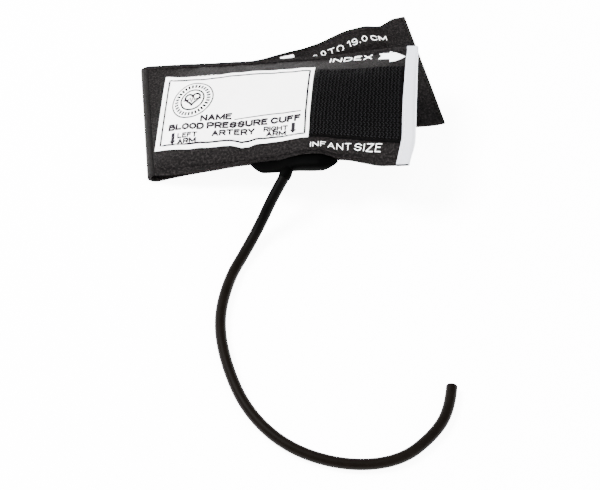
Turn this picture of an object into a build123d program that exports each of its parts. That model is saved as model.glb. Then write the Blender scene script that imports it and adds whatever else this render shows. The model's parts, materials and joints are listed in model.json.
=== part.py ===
"""Infant blood pressure cuff, folded in half, with its bladder and rubber tube.

Millimetres, +Z up. The back leaf lies on the surface, the front leaf is folded over it and
springs a little open. The origin is under the middle of the folded cuff.
"""
from build123d import *
from math import ceil, cos, floor, pi, radians, sin, tan
import os

# ---- driving dimensions -------------------------------------------------------------------
CUFF_WIDTH = 68.0        # across the strip
FRONT_LENGTH = 127.0     # fold to index edge
BACK_LENGTH = 135.0      # fold to plain end
CLOTH = 0.6              # one layer of coated nylon
FOLD_INNER_RADIUS = 2.0  # inside of the bend
FOLD_AT = (-66.5, -10.3)  # middle of the fold line, on the surface
FOLD_NORMAL_DEG = 4.9    # plan direction square to the fold line
FAN_DEG = 10.1           # each leaf leaves the fold this far off square, one each way
SPRING_OPEN_DEG = 12.0   # the front leaf slopes up from the fold
FOLD_STEPS = 3           # hinge lines the cloth bends about
FOLD_GAP_DEG = 4.0       # clearance between two fold sections, on the bend's centre

HEM = 2.0                # flat sewn edge of the front leaf
CROWN = 6.0              # rise of the padded front leaf above its edges
SHEET_ROOM = 1.0         # room for the bladder's two sheets at its rim
STATION_STEP = 8.0       # spacing of the sections that shape the padded face
BLADDER_SHEET = 0.45
BLADDER_U = (15.0, 121.0)
BLADDER_HALF_WIDTH = 28.5
PORT_U = 71.0            # where the tube port leaves the lower edge
MOUTH_WIDTH = 40.0       # gap in the lower seam that the port comes out of
MOUTH_DEPTH = 7.0
PORT_BORE = 5.0
SLIT = 0.02              # gap left between laid-up pieces, so that each stays its own solid
PORT_WALL = 0.7          # the port is this much wider than the tube, all round

LABEL_U = (3.6, 78.4)
LABEL_V = (-20.0, 23.0)
LABEL_THICK = 0.3
HOOK_U = (80.2, 120.5)
HOOK_V = (-21.3, 21.3)
HOOK_TAPE = 0.5
HOOK_HEIGHT = 1.3
HOOK_ROWS = 18
INDEX_TAPE_WIDTH = 6.0
INDEX_TAPE = 0.3
LOOP_U = (20.0, 121.0)
LOOP_HALF_WIDTH = 20.0
LOOP_PILE = 1.1
END_HEM_WIDTH = 12.0
THREAD = 0.3
SEAM_INSET = 3.0

TUBE_OUTER = 5.2
TUBE_INNER = 3.0
# Route of the tube from the port to its free end, chosen by hand.
TUBE_ROUTE = [
    (-3.2, -55.4, 20.2),
    (-8.4, -63.8, 16.2),
    (-14.6, -73.7, 7.0),
    (-21.3, -85.7, 2.65),
    (-28.7, -101.2, 2.65),
    (-33.1, -123.2, 2.65),
    (-29.4, -146.7, 2.65),
    (-19.6, -171.7, 2.65),
    (-1.3, -190.7, 2.65),
    (23.7, -199.5, 2.65),
    (47.7, -197.2, 2.65),
    (63.2, -183.5, 2.65),
    (70.4, -170.2, 2.65),
    (71.6, -158.4, 2.65),
]

HALF_WIDTH = CUFF_WIDTH / 2
PAD_HALF = HALF_WIDTH - HEM - 1.0
BEND_DEG = 180.0 - SPRING_OPEN_DEG
STEP_DEG = BEND_DEG / FOLD_STEPS
BEND_CENTRE_Z = 2 * CLOTH + FOLD_INNER_RADIUS
MIDDLE_RADIUS = FOLD_INNER_RADIUS + CLOTH
OUTER_RADIUS = FOLD_INNER_RADIUS + 2 * CLOTH
FOLD_HALF_LENGTH = HALF_WIDTH / cos(radians(FAN_DEG))
BOTTOM_DEG = -90.0

# ---- frames of the fold and of the two leaves ------------------------------------------------
square = Vector(1, 0, 0).rotate(Axis.Z, FOLD_NORMAL_DEG)
along_fold = Vector(0, 1, 0).rotate(Axis.Z, FOLD_NORMAL_DEG)
fold_base = Vector(FOLD_AT[0], FOLD_AT[1], 0)
fold_plane = Plane(origin=fold_base, x_dir=square, z_dir=-along_fold)

back_dir = square.rotate(Axis.Z, FAN_DEG)
back_plane = Plane(origin=fold_base, x_dir=back_dir, z_dir=(0, 0, 1))

rising = square * cos(radians(SPRING_OPEN_DEG)) + Vector(0, 0, 1) * sin(radians(SPRING_OPEN_DEG))
front_dir = rising * cos(radians(FAN_DEG)) - along_fold * sin(radians(FAN_DEG))
front_across = rising * sin(radians(FAN_DEG)) + along_fold * cos(radians(FAN_DEG))
front_up = front_dir.cross(front_across)
front_root = (
    fold_base
    + Vector(0, 0, BEND_CENTRE_Z + MIDDLE_RADIUS * cos(radians(SPRING_OPEN_DEG)))
    - square * MIDDLE_RADIUS * sin(radians(SPRING_OPEN_DEG))
)

os.makedirs("parts", exist_ok=True)


def save(piece, name):
    piece.part.label = name
    export_step(piece.part, f"parts/{name}.step")


def ramp(value, low, high):
    """Smooth step from 0 at low to 1 at high."""
    share = min(1.0, max(0.0, (value - low) / (high - low)))
    return share * share * (3 - 2 * share)


def between_stations(shape, u):
    """Value of shape at u, straight between the stations on each side."""
    low = floor(u / STATION_STEP) * STATION_STEP
    share = (u - low) / STATION_STEP
    return shape(low) * (1 - share) + shape(low + STATION_STEP) * share


def lift_at(u):
    """Height of the padded area's rim above the sewn edge."""
    return between_stations(lambda x: 0.05 + SHEET_ROOM * ramp(x, 0, 14), u)


def crown_at(u):
    """Rise of the padded area's middle above its rim."""
    return between_stations(
        lambda x: 0.15 + CROWN * ramp(x, 0, 30) * (1 - 0.5 * ramp(x, 75, FRONT_LENGTH)), u
    )


def pad_height(u, v):
    return lift_at(u) + crown_at(u) * (1 - (v / PAD_HALF) ** 2)


def front_section(u):
    """Plane square to the front leaf at u: X across the leaf, Y out of its face."""
    return Plane(origin=front_root + front_dir * u, x_dir=front_across, z_dir=front_dir)


def stations(u_start, u_end):
    """Both ends, and the common stations between them."""
    first = floor(u_start / STATION_STEP) + 1
    last = ceil(u_end / STATION_STEP)
    return [u_start, *(i * STATION_STEP for i in range(first, last)), u_end]


def pad_patch(u_range, v_range, base, thickness):
    """Closed patch that follows the padded face, base above the face's inner side."""
    v0, v1 = v_range
    middle = (v0 + v1) / 2
    with BuildPart() as patch:
        for u in stations(*u_range):
            low = [(v, pad_height(u, v) + base) for v in (v0, middle, v1)]
            high = [(v, z + thickness) for v, z in low]
            with BuildSketch(front_section(u)):
                with BuildLine():
                    ThreePointArc(*low)
                    Line(low[2], high[2])
                    ThreePointArc(*high)
                    Line(high[0], low[0])
                make_face()
        loft(ruled=True)
    return patch.part


def patch_node(name, patches):
    with BuildPart() as node:
        for patch in patches:
            add(patch)
    save(node, name)


def seam_frame(u_range, v_range, inset, base):
    """Four thread runs, inset from the edges of a patch on the padded face."""
    u0, u1 = u_range[0] + inset, u_range[1] - inset
    v0, v1 = v_range[0] + inset, v_range[1] - inset
    return [
        pad_patch((u0, u1), (v0, v0 + THREAD), base, THREAD),
        pad_patch((u0, u1), (v1 - THREAD, v1), base, THREAD),
        pad_patch((u0, u0 + THREAD), (v0 + 2 * THREAD, v1 - 2 * THREAD), base, THREAD),
        pad_patch((u1 - THREAD, u1), (v0 + 2 * THREAD, v1 - 2 * THREAD), base, THREAD),
    ]


def back_box(u_range, v_range, z_range):
    """Flat slab on the back leaf."""
    with BuildPart(mode=Mode.PRIVATE) as slab:
        with BuildSketch(back_plane.offset(z_range[0])):
            with Locations(((u_range[0] + u_range[1]) / 2, (v_range[0] + v_range[1]) / 2)):
                Rectangle(u_range[1] - u_range[0], v_range[1] - v_range[0])
        extrude(amount=z_range[1] - z_range[0])
    return slab.part


# ---- back leaf: outer and inner cloth, lying flat, with the start of the bend -------------------
def back_cloth(name, face_z, bend_radius):
    """Cloth layer whose outer side is at face_z, and at bend_radius round the fold."""
    centre = (0, BEND_CENTRE_Z)
    sweep_deg = -(STEP_DEG / 2 - FOLD_GAP_DEG)
    start_deg = BOTTOM_DEG
    with BuildPart() as cloth:
        with BuildSketch(fold_plane):
            with BuildLine():
                outer = CenterArc(centre, bend_radius, start_deg, sweep_deg)
                inner = CenterArc(centre, bend_radius - CLOTH, start_deg, sweep_deg)
                Line(outer @ 1, inner @ 1)
                Line(inner @ 0, (2 * BACK_LENGTH, face_z + CLOTH))
                Line((2 * BACK_LENGTH, face_z + CLOTH), (2 * BACK_LENGTH, face_z))
                Line((2 * BACK_LENGTH, face_z), outer @ 0)
            make_face()
        extrude(amount=CUFF_WIDTH, both=True)
        with BuildSketch(back_plane.offset(-1)):
            with Locations((BACK_LENGTH / 2 - HALF_WIDTH / 2, 0)):
                Rectangle(BACK_LENGTH + HALF_WIDTH, CUFF_WIDTH)
        extrude(amount=OUTER_RADIUS * 3, mode=Mode.INTERSECT)
    save(cloth, name)


back_cloth("back_outer_panel", 0, OUTER_RADIUS)
back_cloth("back_inner_panel", CLOTH, MIDDLE_RADIUS)

back_top = 2 * CLOTH
patch_node(
    "loop_patch",
    [back_box(LOOP_U, (-LOOP_HALF_WIDTH, LOOP_HALF_WIDTH), (back_top, back_top + LOOP_PILE))],
)

loop_seam_v = LOOP_HALF_WIDTH + 1.0
patch_node(
    "loop_patch_stitching",
    [
        back_box(LOOP_U, (side - THREAD, side), (back_top, back_top + THREAD))
        for side in (-loop_seam_v, loop_seam_v + THREAD)
    ],
)

hem_u = (BACK_LENGTH - END_HEM_WIDTH, BACK_LENGTH - 0.2)
hem_top = back_top + CLOTH
patch_node(
    "end_hem",
    [back_box(hem_u, (-HALF_WIDTH + 0.2, HALF_WIDTH - 0.2), (back_top, hem_top))],
)
patch_node(
    "end_hem_stitching",
    [
        back_box((u, u + THREAD), (-HALF_WIDTH + 1, HALF_WIDTH - 1), (hem_top, hem_top + THREAD))
        for u in (hem_u[0] + 1.2, hem_u[1] - 1.8)
    ],
)

edge_seam_v = HALF_WIDTH - SEAM_INSET
back_seam_u = (12.0, hem_u[0] - 0.5)
patch_node(
    "back_edge_stitching",
    [
        back_box(back_seam_u, (side, side + THREAD), (back_top, back_top + THREAD))
        for side in (-edge_seam_v, edge_seam_v - THREAD)
    ],
)


# ---- the fold: cloth sections between the hinge lines --------------------------------------------
def fold_cloth(name, outer_radius, start_deg, end_deg):
    """Curved cloth section from start to end, counted round the bend from the back leaf."""
    centre = (0, BEND_CENTRE_Z)
    first = BOTTOM_DEG - start_deg - FOLD_GAP_DEG
    size = -(end_deg - start_deg - 2 * FOLD_GAP_DEG)
    with BuildPart() as cloth:
        with BuildSketch(fold_plane):
            with BuildLine():
                outer = CenterArc(centre, outer_radius, first, size)
                inner = CenterArc(centre, outer_radius - CLOTH, first, size)
                Line(outer @ 0, inner @ 0)
                Line(outer @ 1, inner @ 1)
            make_face()
        extrude(amount=FOLD_HALF_LENGTH, both=True)
    save(cloth, name)


fold_sections = [
    ("lower_fold", STEP_DEG / 2, 3 * STEP_DEG / 2),
    ("upper_fold", 3 * STEP_DEG / 2, 5 * STEP_DEG / 2),
    ("top_fold", 5 * STEP_DEG / 2, 3 * STEP_DEG),
]
for section, start, end in fold_sections:
    fold_cloth(f"{section}_outer_cloth", OUTER_RADIUS, start, end)
    fold_cloth(f"{section}_inner_cloth", MIDDLE_RADIUS, start, end)


# ---- front leaf: padded outer cloth over the bladder, flat inner cloth ----------------------------
def beyond_fold():
    """Plane across the front leaf just past the bend, facing along the leaf."""
    return Plane(origin=front_root + rising * 0.1, x_dir=along_fold, z_dir=rising)


def padded_outline(u, offset):
    """Points of the outer cloth's section, offset out of the face."""
    lift = lift_at(u)
    return [
        (-HALF_WIDTH, offset),
        (-PAD_HALF - 1, offset),
        (-PAD_HALF, lift + offset),
        (0, lift + crown_at(u) + offset),
        (PAD_HALF, lift + offset),
        (PAD_HALF + 1, offset),
        (HALF_WIDTH, offset),
    ]


def draw_padded_line(points):
    Line(points[0], points[1])
    Line(points[1], points[2])
    ThreePointArc(points[2], points[3], points[4])
    Line(points[4], points[5])
    Line(points[5], points[6])


mouth_plane = Plane(origin=front_root, x_dir=front_dir, z_dir=front_up)
overlap_start = -0.6 * HEM - 6.0
with BuildPart() as front_outer:
    for u in stations(overlap_start, FRONT_LENGTH):
        low = padded_outline(u, 0.0)
        high = padded_outline(u, CLOTH)
        with BuildSketch(front_section(u)):
            with BuildLine():
                draw_padded_line(low)
                Line(low[-1], high[-1])
                draw_padded_line(high)
                Line(high[0], low[0])
            make_face()
    loft(ruled=True)
    split(bisect_by=beyond_fold(), keep=Keep.TOP)
    with BuildSketch(mouth_plane.offset(-1)):
        with Locations((PORT_U, -HALF_WIDTH)):
            Ellipse(MOUTH_WIDTH / 2, MOUTH_DEPTH)
    extrude(amount=3 * CROWN, mode=Mode.SUBTRACT)
save(front_outer, "front_outer_panel")

with BuildPart() as front_inner:
    with BuildSketch(mouth_plane.offset(-CLOTH)):
        with Locations(((FRONT_LENGTH + overlap_start) / 2, 0)):
            Rectangle(FRONT_LENGTH - overlap_start, CUFF_WIDTH)
    extrude(amount=CLOTH - 0.01)
    split(bisect_by=beyond_fold(), keep=Keep.TOP)
save(front_inner, "front_inner_panel")


def front_box(u_range, v_range, z_range):
    """Slab square to the front leaf's flat face."""
    with BuildPart(mode=Mode.PRIVATE) as slab:
        with BuildSketch(mouth_plane.offset(z_range[0])):
            with Locations(((u_range[0] + u_range[1]) / 2, (v_range[0] + v_range[1]) / 2)):
                Rectangle(u_range[1] - u_range[0], v_range[1] - v_range[0])
        extrude(amount=z_range[1] - z_range[0])
    return slab.part


seam_u = (8.0, FRONT_LENGTH - INDEX_TAPE_WIDTH - 0.5)
thread_v = HALF_WIDTH - 1.2
mouth_u = (PORT_U - MOUTH_WIDTH / 2 - 0.5, PORT_U + MOUTH_WIDTH / 2 + 0.5)
thread_z = (CLOTH, CLOTH + THREAD)
patch_node(
    "front_edge_stitching",
    [
        front_box((seam_u[0], mouth_u[0]), (-thread_v, -thread_v + THREAD), thread_z),
        front_box((mouth_u[1], seam_u[1]), (-thread_v, -thread_v + THREAD), thread_z),
        front_box(seam_u, (thread_v - THREAD, thread_v), thread_z),
    ],
)

# White tape folded over the index edge: a run above the cloth, a run below, and the turn.
tape_v = PAD_HALF - 0.1
tape_base = CLOTH + 0.05
tape_u = (FRONT_LENGTH - INDEX_TAPE_WIDTH, FRONT_LENGTH)
tape_under = (-CLOTH - 0.05 - INDEX_TAPE, -CLOTH - 0.05)
with BuildPart() as tape_turn:
    with BuildSketch(front_section(FRONT_LENGTH + SLIT)):
        with BuildLine():
            rim = (tape_v, pad_height(FRONT_LENGTH, tape_v) + tape_base + INDEX_TAPE)
            top = (0, pad_height(FRONT_LENGTH, 0) + tape_base + INDEX_TAPE)
            foot = (HALF_WIDTH, tape_under[0])
            Line((-rim[0], rim[1]), (-foot[0], foot[1]))
            Line((-foot[0], foot[1]), foot)
            Line(foot, rim)
            ThreePointArc((-rim[0], rim[1]), top, rim)
        make_face()
    extrude(amount=INDEX_TAPE)
patch_node(
    "index_binding",
    [
        pad_patch(tape_u, (-tape_v, tape_v), tape_base, INDEX_TAPE),
        front_box(tape_u, (-HALF_WIDTH, HALF_WIDTH), tape_under),
        tape_turn.part,
    ],
)
patch_node(
    "index_binding_stitching",
    [
        pad_patch(
            (tape_u[0] + 1.0, tape_u[0] + 1.0 + THREAD),
            (-PAD_HALF + 1, PAD_HALF - 1),
            tape_base + INDEX_TAPE + SLIT,
            THREAD,
        )
    ],
)

# ---- what is sewn on the front leaf ---------------------------------------------------------------
label_base = CLOTH + 0.1
patch_node("name_label", [pad_patch(LABEL_U, LABEL_V, label_base, LABEL_THICK)])
label_seam_base = label_base + LABEL_THICK + SLIT
patch_node("label_stitching", seam_frame(LABEL_U, LABEL_V, 1.0, label_seam_base))

patch_node("hook_tape", [pad_patch(HOOK_U, HOOK_V, label_base, HOOK_TAPE)])
hook_base = label_base + HOOK_TAPE + SLIT
hook_field = (HOOK_U[0] + 2.2, HOOK_U[1] - 2.2)
hook_pitch = (hook_field[1] - hook_field[0]) / HOOK_ROWS
hook_row_v = (HOOK_V[0] + 2.2, HOOK_V[1] - 2.2)
hook_rows = [
    pad_patch(
        (hook_field[0] + (i + 0.2) * hook_pitch, hook_field[0] + (i + 0.8) * hook_pitch),
        hook_row_v,
        hook_base,
        HOOK_HEIGHT,
    )
    for i in range(HOOK_ROWS)
]
patch_node("hook_rows", hook_rows)
patch_node("hook_tape_stitching", seam_frame(HOOK_U, HOOK_V, 1.0, hook_base))

# ---- bladder, port and tube ------------------------------------------------------------------------
sheet_v = (-BLADDER_HALF_WIDTH, BLADDER_HALF_WIDTH)
upper_base = -BLADDER_SHEET - 0.1
lower_sheet_z = (SLIT, SLIT + BLADDER_SHEET)
patch_node("bladder_upper_sheet", [pad_patch(BLADDER_U, sheet_v, upper_base, BLADDER_SHEET)])
patch_node("bladder_lower_sheet", [front_box(BLADDER_U, sheet_v, lower_sheet_z)])

tube_points = [Vector(*point) for point in TUBE_ROUTE]
tube_start = tube_points[0]
tube_dir = (tube_points[1] - tube_points[0]).normalized()


def port_section(u, v, height):
    """Plane across the port, facing out of the mouth."""
    at = front_root + front_dir * u + front_across * v + front_up * height
    return Plane(origin=at, x_dir=front_dir, z_dir=-front_across)


port_mouth = Plane(origin=tube_start, z_dir=-tube_dir)
with BuildPart() as bladder_port:
    with BuildSketch(port_section(PORT_U + 1.5, -BLADDER_HALF_WIDTH - 0.2, 1.35)):
        Ellipse(10.5, 1.2)
    with BuildSketch(port_section(PORT_U + 0.3, -HALF_WIDTH - 1.5, 3.1)):
        Ellipse(3.6, 3.0)
    loft()
    with BuildSketch(port_mouth):
        Circle(TUBE_OUTER / 2 + PORT_WALL)
    extrude(amount=PORT_BORE - 0.5)
    with BuildSketch(port_mouth):
        Circle(TUBE_INNER / 2)
    extrude(amount=PORT_BORE, mode=Mode.SUBTRACT)
save(bladder_port, "bladder_port")

corner_radii = []
for before, corner, after in zip(tube_points, tube_points[1:], tube_points[2:]):
    run_in = corner - before
    run_out = after - corner
    half_turn = radians(run_in.get_angle(run_out)) / 2
    corner_radii.append(0.45 * min(run_in.length, run_out.length) / tan(half_turn))
print("tube corner radii", [round(radius, 1) for radius in corner_radii])

with BuildPart() as tube:
    with BuildLine():
        tube_line = FilletPolyline(*tube_points, radius=corner_radii)
    with BuildSketch(Plane(origin=tube_start, z_dir=tube_dir)):
        Circle(TUBE_OUTER / 2)
        Circle(TUBE_INNER / 2, mode=Mode.SUBTRACT)
    sweep()
tube_section = pi * (TUBE_OUTER**2 - TUBE_INNER**2) / 4
print("tube length", round(tube_line.length, 1))
print("tube volume", round(tube.part.volume), "section x length", round(tube_section * tube_line.length))
save(tube, "tube")
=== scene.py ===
import json
import math

import bmesh
import bpy
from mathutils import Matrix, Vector, noise


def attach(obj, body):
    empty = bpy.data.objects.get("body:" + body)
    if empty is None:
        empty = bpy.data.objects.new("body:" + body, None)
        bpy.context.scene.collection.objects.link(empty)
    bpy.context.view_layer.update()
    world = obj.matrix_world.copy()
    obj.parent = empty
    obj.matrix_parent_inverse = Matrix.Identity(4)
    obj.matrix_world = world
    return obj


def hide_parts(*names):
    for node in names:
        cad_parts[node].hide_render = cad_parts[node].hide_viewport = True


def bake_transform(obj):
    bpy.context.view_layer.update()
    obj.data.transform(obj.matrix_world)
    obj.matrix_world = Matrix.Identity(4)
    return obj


# Infant blood pressure cuff, folded in half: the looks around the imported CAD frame.
# Lengths in the cuff's own geometry are written in millimetres and turned to metres by MM.

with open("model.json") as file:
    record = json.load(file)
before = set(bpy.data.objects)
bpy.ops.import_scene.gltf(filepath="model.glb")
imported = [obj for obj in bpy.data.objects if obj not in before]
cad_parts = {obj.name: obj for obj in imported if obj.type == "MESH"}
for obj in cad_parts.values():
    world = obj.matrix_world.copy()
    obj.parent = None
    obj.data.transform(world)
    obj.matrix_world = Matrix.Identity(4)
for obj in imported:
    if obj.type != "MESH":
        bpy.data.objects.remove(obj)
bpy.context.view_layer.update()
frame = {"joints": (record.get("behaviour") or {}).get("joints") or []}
MM = 0.001

# ---- camera: high in front of the cuff
CAMERA_ELEVATION = math.radians(55)
CAMERA_DISTANCE = 1.1
CAMERA_TARGET = Vector((4.0, -80.1, 0.0)) * MM
camera = bpy.data.objects.new("camera", bpy.data.cameras.new("camera"))
bpy.context.scene.collection.objects.link(camera)
camera.data.lens = 141.9
camera.data.sensor_width = 36
camera.location = CAMERA_TARGET + CAMERA_DISTANCE * Vector(
    (0, -math.cos(CAMERA_ELEVATION), math.sin(CAMERA_ELEVATION))
)
camera.rotation_euler = (math.pi / 2 - CAMERA_ELEVATION, 0, 0)
bpy.context.scene.camera = camera

# ---- the cuff's own geometry
joints = {joint["name"]: joint for joint in frame["joints"]}
UP = Vector((0, 0, 1))
ALONG_FOLD = -Vector(joints["fold_lower"]["axis"]).normalized()
SQUARE = ALONG_FOLD.cross(UP)
FOLD_STEP = math.radians(56)
FAN = math.radians(10.1)
SPRING_OPEN = math.radians(12)

CLOTH = 0.6
BEND_RADIUS = 2.6        # between the two layers of cloth
BEND_CENTRE_Z = 3.2
HALF_WIDTH = 34.0
FRONT_LENGTH = 127.0
BACK_LENGTH = 135.0
PAD_HALF = 31.0
SEAM_V = 32.2            # stitched line along the front leaf's edges
PORT_U = 71.0
LABEL_U, LABEL_V = (4.4, 79.7), (-20.5, 21.9)
HOOK_U, HOOK_V = (80.7, 121.6), (-20.6, 20.2)
INDEX_TAPE_WIDTH = 5.0
LOOP_U, LOOP_HALF = (20.0, 121.0), 20.0
END_HEM = 12.0
TUBE_RADIUS = 2.6
TUBE_BORE = 1.5
BLADDER_U, BLADDER_HALF = (15, 121), 28.5
PATCH_BASE = CLOTH + 0.04    # under side of what is sewn on the front leaf
PRINT_SINK = 0.05            # how far a print starts below the cloth's face
PRINT_THICK = 0.2
EDGE_WAVE = (0.35, 2.0)      # wander of the back leaf's cut edges, and its seed
FRONT_WAVE = (0.3, 6.0)      # the same for the front leaf

fold_base = Vector(joints["fold_lower"]["pos_m"])
fold_base += SQUARE * BEND_RADIUS * math.tan(FOLD_STEP / 2) * MM
fold_base.z = 0
back_dir = SQUARE * math.cos(FAN) + ALONG_FOLD * math.sin(FAN)
back_across = ALONG_FOLD * math.cos(FAN) - SQUARE * math.sin(FAN)
rising = SQUARE * math.cos(SPRING_OPEN) + UP * math.sin(SPRING_OPEN)
front_dir = rising * math.cos(FAN) - ALONG_FOLD * math.sin(FAN)
front_across = rising * math.sin(FAN) + ALONG_FOLD * math.cos(FAN)
front_up = front_dir.cross(front_across)
front_root = fold_base - SQUARE * BEND_RADIUS * math.sin(SPRING_OPEN) * MM
front_root += UP * (BEND_CENTRE_Z + BEND_RADIUS * math.cos(SPRING_OPEN)) * MM


def ramp(value, low, high):
    """Smooth step from 0 at low to 1 at high."""
    share = min(1.0, max(0.0, (value - low) / (high - low)))
    return share * share * (3 - 2 * share)


def hump(value, centre, half):
    """Smooth hump, 1 at centre and 0 beyond half on each side."""
    share = min(1.0, abs(value - centre) / half)
    return math.cos(share * math.pi / 2) ** 2


def wander(x, y, size, seed):
    """Smooth noise from -1 to 1 with features of the given size in millimetres."""
    return noise.noise(Vector((x / size, y / size, seed)))


# ---- the tube: its route is settled first, as the frame has it
TUBE_ROUTE = [
    (-3.2, -55.4, 20.2),
    (-8.4, -63.8, 16.2),
    (-14.6, -73.7, 7.0),
    (-21.3, -85.7, 2.65),
    (-28.7, -101.2, 2.65),
    (-33.1, -123.2, 2.65),
    (-29.4, -146.7, 2.65),
    (-19.6, -171.7, 2.65),
    (-1.3, -190.7, 2.65),
    (23.7, -199.5, 2.65),
    (47.7, -197.2, 2.65),
    (63.2, -183.5, 2.65),
    (70.4, -170.2, 2.65),
    (71.6, -158.4, 2.65),
]


def smooth_line(route, resolution):
    """Points read from the NURBS spline that has the route as its control points."""
    curve = bpy.data.curves.new("route", "CURVE")
    curve.dimensions = "3D"
    spline = curve.splines.new("NURBS")
    spline.points.add(len(route) - 1)
    for point, at in zip(spline.points, route):
        point.co = (*(Vector(at) * MM), 1)
    spline.order_u = 3
    spline.use_endpoint_u = True
    spline.resolution_u = resolution
    holder = bpy.data.objects.new("route", curve)
    mesh = bpy.data.meshes.new_from_object(holder)
    points = [vertex.co.copy() for vertex in mesh.vertices]
    bpy.data.objects.remove(holder)
    return points


# ---- mesh helpers
def piece(name, verts, faces, material, uvs=None):
    """New object from a closed mesh. uvs holds one point of the cloth, in millimetres, per vertex."""
    mesh = bpy.data.meshes.new(name)
    mesh.from_pydata([tuple(v) for v in verts], [], faces)
    if uvs:
        layer = mesh.uv_layers.new(name="UVMap")
        for loop in mesh.loops:
            u, v = uvs[loop.vertex_index]
            layer.data[loop.index].uv = (u / 100, v / 100)
    work = bmesh.new()
    work.from_mesh(mesh)
    bmesh.ops.recalc_face_normals(work, faces=work.faces)
    work.to_mesh(mesh)
    work.free()
    mesh.polygons.foreach_set("use_smooth", [True] * len(mesh.polygons))
    obj = bpy.data.objects.new(name, mesh)
    bpy.context.scene.collection.objects.link(obj)
    mesh.materials.append(material)
    return obj


def border_of(rows, cols):
    """Grid positions once round the rim."""
    border = [(i, 0) for i in range(rows)]
    border += [(rows - 1, j) for j in range(1, cols)]
    border += [(i, cols - 1) for i in range(rows - 2, -1, -1)]
    border += [(0, j) for j in range(cols - 2, 0, -1)]
    return border


def rim_point(grid, i, j, bulge):
    """Cloth point of the rounded rim, just outside the grid's border."""
    rows, cols = len(grid), len(grid[0])
    u, v = grid[i][j]
    out = Vector((u, v)) - Vector(grid[min(max(i, 1), rows - 2)][min(max(j, 1), cols - 2)])
    if out.length <= 1e-9:
        out = Vector((u, v)) - Vector(grid[rows // 2][cols // 2])
    out = out.normalized()
    return u + out.x * bulge, v + out.y * bulge


def cloth_slab(name, grid, place, low, high, material):
    """Thin closed sheet with a rounded rim. grid is rows of (u, v); place(u, v, h) gives a point."""
    rows, cols = len(grid), len(grid[0])
    uvs = [spot for _ in range(2) for row in grid for spot in row]
    under = rows * cols
    verts = [place(u, v, high) for u, v in uvs[:under]]
    verts += [place(u, v, low) for u, v in uvs[:under]]
    faces = []

    def at(i, j):
        return i * cols + j

    for i in range(rows - 1):
        for j in range(cols - 1):
            quad = (at(i, j), at(i + 1, j), at(i + 1, j + 1), at(i, j + 1))
            faces.append(quad)
            faces.append(tuple(under + k for k in reversed(quad)))
    border = border_of(rows, cols)
    rim_start = len(verts)
    count = len(border)
    for k, (i, j) in enumerate(border):
        u, v = rim_point(grid, i, j, (high - low) * 0.45)
        verts.append(place(u, v, (low + high) / 2))
        uvs.append((u, v))
        a, b = at(i, j), at(*border[(k + 1) % count])
        c, d = rim_start + (k + 1) % count, rim_start + k
        faces.append((a, d, c, b))
        faces.append((under + a, under + b, c, d))
    return piece(name, verts, faces, material, uvs)


def even(low, high, count):
    """Evenly spaced values, both ends among them."""
    return [low + (high - low) * i / (count - 1) for i in range(count)]


def rectangle_grid(u_range, v_range, nu, nv):
    """Rows of (u, v) over a rectangle of cloth."""
    return [[(u, v) for v in even(*v_range, nv)] for u in even(*u_range, nu)]


def ring_tube(centres, radii, sides, up=UP):
    """Vertices of rings round a line of centres, one radius each."""
    verts = []
    side_way = None
    for i, centre in enumerate(centres):
        before, after = centres[max(i - 1, 0)], centres[min(i + 1, len(centres) - 1)]
        along = (after - before).normalized()
        if side_way is None:
            side_way = along.cross(up).normalized()
        side_way = (side_way - along * side_way.dot(along)).normalized()
        other = along.cross(side_way)
        for k in range(sides):
            turn = 2 * math.pi * k / sides
            spoke = side_way * math.cos(turn) + other * math.sin(turn)
            verts.append(centre + spoke * radii[i])
    return verts


def ring_faces(rings, sides, first=0):
    """Faces that join rings into a closed solid with flat ends."""
    faces = []
    for i in range(rings - 1):
        for k in range(sides):
            a = first + i * sides + k
            b = first + i * sides + (k + 1) % sides
            faces.append((a, b, b + sides, a + sides))
    faces.append(tuple(reversed(range(first, first + sides))))
    last = first + (rings - 1) * sides
    faces.append(tuple(range(last, last + sides)))
    return faces


STITCH_SHAPE = (         # share of the stitch, lift off the cloth, share of the thread's radius
    (0.0, -0.12, 0.45), (0.12, 0.04, 0.9), (0.35, 0.12, 1.0),
    (0.65, 0.12, 1.0), (0.88, 0.04, 0.9), (1.0, -0.12, 0.45),
)


def seam_point(points, normals, marks, distance):
    """Point and normal at a distance along a seam; marks holds each point's own distance."""
    i = 0
    while i < len(marks) - 2 and marks[i + 1] < distance:
        i += 1
    share = (distance - marks[i]) / max(1e-9, marks[i + 1] - marks[i])
    share = min(1.0, max(0.0, share))
    return points[i].lerp(points[i + 1], share), normals[i].lerp(normals[i + 1], share)


def stitches(name, runs, material, length=2.3, gap=0.7, radius=0.17, sides=6):
    """Rows of thread stitches. Each run is (points, normals) in world space, evenly followed."""
    verts, faces = [], []
    for points, normals in runs:
        marks = [0.0]
        for a, b in zip(points, points[1:]):
            marks.append(marks[-1] + (b - a).length / MM)
        count = max(1, int(marks[-1] / (length + gap)))
        pitch = marks[-1] / count
        for s in range(count):
            start = s * pitch + gap / 2
            centres, radii = [], []
            for share, lift, width in STITCH_SHAPE:
                point, normal = seam_point(points, normals, marks, start + share * (pitch - gap))
                centres.append(point + normal * lift * MM)
                radii.append(radius * width * MM)
            first = len(verts)
            verts += ring_tube(centres, radii, sides, up=normals[0])
            faces += ring_faces(len(centres), sides, first)
    return piece(name, verts, faces, material)


def seam_run(place, start, end, height, count=40):
    """Points and normals of a straight seam on a cloth surface."""
    points, normals = [], []
    for i in range(count):
        share = i / (count - 1)
        u = start[0] + (end[0] - start[0]) * share
        v = start[1] + (end[1] - start[1]) * share
        here = place(u, v, height)
        points.append(here)
        normals.append((place(u, v, height + 1) - here).normalized())
    return points, normals


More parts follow.
